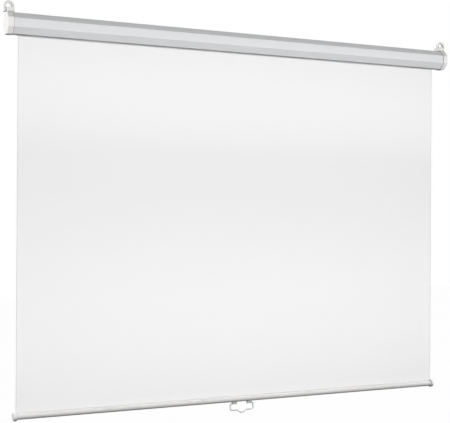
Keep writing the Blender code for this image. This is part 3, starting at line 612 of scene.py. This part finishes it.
def bar_end(side, sign):
    """A moulded plug with a softly domed end and a small step where it meets the tube."""
    low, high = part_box(f"bar_cap_{side}")
    end = high.x if sign > 0 else -low.x
    radius = (high.z - low.z) / 2
    face = BAR_HIGH.x + SEAT_GAP
    spigot = BAR_RADIUS - BAR_WALL - SEAT_GAP
    plug = BAR_HIGH.x - BAR_PLUG_LENGTH
    stations = [(plug, spigot - BAR_PLUG_TAPER), (plug + BAR_PLUG_TAPER, spigot), (face, spigot),
                (face, radius - BAR_CAP_EDGE), (face + BAR_CAP_EDGE, radius)]
    stations += [(end - BAR_CAP_ROUNDING * (1 - math.sin(a)),
                  radius - BAR_CAP_ROUNDING * (1 - math.cos(a)))
                 for a in angles(0, 90, BAR_CAP_STEPS)]
    stations += [(end - BAR_CAP_DISH, radius - BAR_CAP_ROUNDING - BAR_CAP_DISH_RIM),
                 (end - BAR_CAP_DISH, BAR_CAP_DISH)]
    rings = [ring_x(sign * x, r, BAR_CAP_SIDES, CLOTH_Y, BAR_Z) for x, r in stations]
    made = mesh_of(f"bar_end_{side}", [(rings, False)])
    xs = sorted((sign * BAR_HIGH.x, sign * (CLOTH_HIGH.x + SEAT_GAP)))
    slit = rounded_box("slit", (xs[0], CLOTH_Y - BAR_CAP_SLOT / 2, BAR_Z + spigot + SEAT_GAP / 2),
                       (xs[1], CLOTH_Y + BAR_CAP_SLOT / 2, BAR_Z + 2 * radius), SLIT_ROUNDING)
    combine(made, "DIFFERENCE", slit)
    dress(made, f"bar_cap_{side}", sharp=35)


def bail():
    """The pull handle: two pins, rounded shoulders and a finger lobe."""
    centre = (HANDLE_LOW.x + HANDLE_HIGH.x) / 2
    pivot = HANDLE_HIGH.z - HANDLE_BAND
    wide, down = HANDLE_HALF_WIDTH, -HANDLE_DROP
    half = [(HANDLE_PIN_IN, 0.0, HANDLE_PIN_RADIUS),
            (HANDLE_BEND_START - SEAT_GAP, 0.0, HANDLE_PIN_RADIUS),
            (HANDLE_BEND_START, 0.0, HANDLE_BAND * HANDLE_NECK),
            (HANDLE_BEND_START + SEAT_GAP, 0.0, HANDLE_BAND)]
    small = wide - half[-1][0]
    half += [(wide - small * (1 - math.sin(a)), -small * (1 - math.cos(a)), HANDLE_BAND)
             for a in angles(0, 90, HANDLE_BEND_STEPS)[1:]]
    half += [(wide - HANDLE_CORNER * (1 - math.cos(a)), down + HANDLE_CORNER * (1 - math.sin(a)),
              HANDLE_BAND) for a in angles(0, 90, HANDLE_BEND_STEPS)]
    lobe = HANDLE_LOBE_DROP - HANDLE_DROP
    for i in range(HANDLE_LOBE_STEPS + 1):
        share = i / HANDLE_LOBE_STEPS
        half.append((HANDLE_LOBE_HALF * (1 - share),
                     down - lobe * (1 - math.cos(math.pi * share)) / 2, HANDLE_BAND))
    path = [(-x, z, r) for x, z, r in half[:-1]] + half[::-1]
    rings = []
    for i, (x, z, radius) in enumerate(path):
        before, after = path[max(i - 1, 0)], path[min(i + 1, len(path) - 1)]
        run = Vector((after[0] - before[0], 0, after[1] - before[1])).normalized()
        out = Vector((-run.z, 0, run.x))
        depth = min(radius, HANDLE_DEPTH)
        middle = Vector((centre + x, CLOTH_Y, pivot + z))
        rings.append([middle + out * radius * soft(math.cos(t))
                      + Vector((0, depth * soft(math.sin(t)), 0))
                      for t in (2 * math.pi * (k + 0.5) / HANDLE_SECTION
                                for k in range(HANDLE_SECTION))])
    made = mesh_of("handle_bail", [(rings, False)])
    dress(made, "pull_handle", sharp=40, weighted=False)


def softened(node, name):
    """A CAD solid with its edges broken by a fine bevel."""
    mesh = frame["nodes"][node].data.copy()
    shape = bmesh.new()
    shape.from_mesh(mesh)
    bmesh.ops.remove_doubles(shape, verts=shape.verts, dist=WELD)
    bmesh.ops.dissolve_limit(shape, angle_limit=math.radians(1), verts=shape.verts,
                             edges=shape.edges)
    shape.to_mesh(mesh)
    shape.free()
    made = bpy.data.objects.new(name, mesh)
    bpy.context.scene.collection.objects.link(made)
    edge = made.modifiers.new("soft_edges", "BEVEL")
    edge.width = BRACKET_EDGE
    edge.segments = 2
    edge.limit_method = "ANGLE"
    edge.angle_limit = math.radians(35)
    dress(made, node)


def sunk_screw(node, name, head_axis, sunk):
    """A countersunk head with a crossed recess over a plain shank, along head_axis."""
    low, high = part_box(node)
    middle = (low + high) / 2
    up = Vector(head_axis)
    reach = abs((high - low).dot(up)) / 2
    side = Vector((1, 0, 0))
    other = up.cross(side)
    head = (high.x - low.x) / 2
    profile = [(-reach, SCREW_SHANK * SCREW_TIP_SHARE), (-reach + SCREW_TIP, SCREW_SHANK),
               (reach - sunk, SCREW_SHANK), (reach - SCREW_RIM, head),
               (reach, head - SCREW_RIM / 2)]
    turns = [2 * math.pi * (k + 0.5) / SCREW_SIDES for k in range(SCREW_SIDES)]
    rings = [[middle + up * h + side * r * math.cos(t) + other * r * math.sin(t) for t in turns]
             for h, r in profile]
    made = mesh_of(name, [(rings, False)])
    arm, width = head * RECESS_REACH, head * RECESS_WIDTH
    for a, b in ((side, other), (other, side)):
        half = Vector([abs(c) for c in (a * arm + b * width + up * HEAD_RECESS)])
        top = middle + up * reach
        recess = rounded_box("recess", top - half, top + half, RECESS_ROUNDING, 1)
        combine(made, "DIFFERENCE", recess)
    dress(made, node)


housing()
for side, sign in SIDES.items():
    end_cap(side, sign)
    eye(side, sign)
    bar_end(side, sign)
    softened(f"handle_bracket_{side}", f"bracket_{side}")
    sunk_screw(f"cap_screw_{side}", f"back_screw_{side}", (0, 1, 0), BACK_HEAD_DEPTH)
    sunk_screw(f"bracket_screw_{side}", f"saddle_screw_{side}", (0, 0, -1), SADDLE_HEAD_DEPTH)
bar_tube()
bail()
sheet = cloth()
roll = cloth_roll()
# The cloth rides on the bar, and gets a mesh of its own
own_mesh(sheet)
for node, thing in frame["nodes"].items():
    if not thing.hide_render:
        thing.data.materials.clear()
        thing.data.materials.append(PAINTS[SLOT_OF[node]])


def camera():
    """The photograph's camera."""
    forward = Vector((math.sin(CAMERA_YAW) * math.cos(CAMERA_PITCH),
                      math.cos(CAMERA_YAW) * math.cos(CAMERA_PITCH), math.sin(CAMERA_PITCH)))
    right = Vector((math.cos(CAMERA_YAW), -math.sin(CAMERA_YAW), 0))
    up = right.cross(forward)
    level = right * math.cos(CAMERA_ROLL) + up * math.sin(CAMERA_ROLL)
    upright = up * math.cos(CAMERA_ROLL) - right * math.sin(CAMERA_ROLL)
    data = bpy.data.cameras.new("camera")
    data.sensor_width = SENSOR
    data.lens = LENS
    made = bpy.data.objects.new("camera", data)
    bpy.context.scene.collection.objects.link(made)
    turn = Matrix((level, upright, -forward)).transposed().to_4x4()
    made.matrix_world = Matrix.Translation(CAMERA_PLACE) @ turn
    bpy.context.scene.camera = made


def lamp(name, place, aim, size, power):
    """A soft lamp that lights directly, without bounced light, and isn't seen itself."""
    data = bpy.data.lights.new(name, "AREA")
    data.shape = "RECTANGLE"
    data.size, data.size_y = size
    data.energy = power
    data.cycles.max_bounces = 0
    made = bpy.data.objects.new(name, data)
    bpy.context.scene.collection.objects.link(made)
    made.location = place
    made.rotation_euler = (Vector(aim) - Vector(place)).to_track_quat("-Z", "Y").to_euler()
    made.visible_camera = False


def seen_ray(nodes, links):
    """1 for a ray from the camera, or one that a glossy or clear surface sends on."""
    path = nodes.new("ShaderNodeLightPath")
    first = nodes.new("ShaderNodeMath")
    first.operation = "MAXIMUM"
    links.new(path.outputs["Is Camera Ray"], first.inputs[0])
    links.new(path.outputs["Is Glossy Ray"], first.inputs[1])
    both = nodes.new("ShaderNodeMath")
    both.operation = "MAXIMUM"
    links.new(first.outputs["Value"], both.inputs[0])
    links.new(path.outputs["Is Transmission Ray"], both.inputs[1])
    return both.outputs["Value"]


def surroundings(ambient):
    """A white surrounding as seen, and a dim one as a source of light."""
    world = bpy.data.worlds.new("studio")
    bpy.context.scene.world = world
    world.use_nodes = True
    nodes, links = world.node_tree.nodes, world.node_tree.links
    power = nodes.new("ShaderNodeMapRange")
    power.inputs["To Min"].default_value = ambient
    power.inputs["To Max"].default_value = 1.0
    links.new(seen_ray(nodes, links), power.inputs["Value"])
    nodes["Background"].inputs["Color"].default_value = (1, 1, 1, 1)
    links.new(power.outputs["Result"], nodes["Background"].inputs["Strength"])


def floor(height):
    """A pale floor that looks white and keeps the object's shadow."""
    made = mesh_of("floor", [])
    corners = [(x * FLOOR_HALF, y * FLOOR_HALF, height)
               for x, y in ((-1, -1), (1, -1), (1, 1), (-1, 1))]
    made.data.from_pydata(corners, [], [(0, 1, 2, 3)])
    surface = bpy.data.materials.new("floor")
    surface.use_nodes = True
    nodes, links = surface.node_tree.nodes, surface.node_tree.links
    shader = nodes["Principled BSDF"]
    shader.inputs["Base Color"].default_value = (FLOOR_COLOUR, FLOOR_COLOUR, FLOOR_COLOUR, 1)
    shader.inputs["Roughness"].default_value = 1.0
    shader.inputs["Specular IOR Level"].default_value = 0.0
    shader.inputs["Emission Color"].default_value = (1, 1, 1, 1)
    glow = nodes.new("ShaderNodeMath")
    glow.operation = "MULTIPLY"
    glow.inputs[1].default_value = FLOOR_GLOW
    links.new(seen_ray(nodes, links), glow.inputs[0])
    links.new(glow.outputs["Value"], shader.inputs["Emission Strength"])
    made.data.materials.append(surface)


camera()
# The lamps in front and at the left give the photograph's shading, the others light the rest
lamp("front_light", (-0.2, -7.0, 0.9), (0, 0, -0.5), (4.0, 1.0), 151)
lamp("upper_strip", (0.0, -0.8, -0.3), (0, -0.157, 0.466), (3.6, 0.3), 8.6)
lamp("middle_strip", (0.0, -0.8, 0.0), (0, -0.377, -0.906), (3.6, 0.3), 11.4)
lamp("lower_strip", (0.0, -0.8, -0.75), (0, -0.377, -1.656), (3.6, 0.3), 15.1)
lamp("left_light", (-4.5, 0.45, 0.45), (0, 0, 0), (0.6, 0.6), 121)
lamp("right_light", (4.5, 0.5, 0.3), (0, 0, 0), (1.0, 1.0), 110)
lamp("back_light", (0.0, 5.0, 0.1), (0, 0, -0.4), (3.0, 1.0), 123)
lamp("top_light", (0.0, 3.8, 3.3), (0, 0, -0.3), (3.0, 1.0), 165)
surroundings(0.02)
floor(cad_box[0].z - FLOOR_BELOW)

scene = bpy.context.scene
scene.view_settings.view_transform = "Standard"
